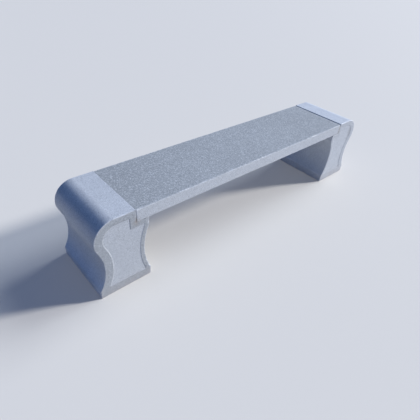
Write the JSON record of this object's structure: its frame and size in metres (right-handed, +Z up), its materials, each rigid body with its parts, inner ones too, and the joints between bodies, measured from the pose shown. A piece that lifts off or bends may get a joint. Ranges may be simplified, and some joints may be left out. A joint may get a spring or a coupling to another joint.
{
  "type": "backless bench",
  "caption": "Backless granite street bench: a flat seat slab let into rebates in two carved end supports with rolled tops.",
  "frame": {"origin": "on the ground, under the middle of the seat", "axes": "+X along the bench, +Y to the back, +Z up"},
  "size_m": [2.1, 0.4, 0.45],
  "materials": {
    "granite_hammered": "bush-hammered grey granite, matt and pitted",
    "granite_honed": "honed grey granite, smooth with a faint sheen",
    "stainless_steel": "bright drawn bar with rolled grooves",
    "setting_resin": "stone-coloured polyester setting resin, matt"
  },
  "bodies": {
    "root": {"seat_slab": "granite_hammered", "left_support": "granite_honed", "right_support": "granite_honed", "dowel_left_front": "stainless_steel", "dowel_left_rear": "stainless_steel", "dowel_right_front": "stainless_steel", "dowel_right_rear": "stainless_steel", "resin_bed_left": "setting_resin", "resin_bed_right": "setting_resin"}
  },
  "joints": []
}
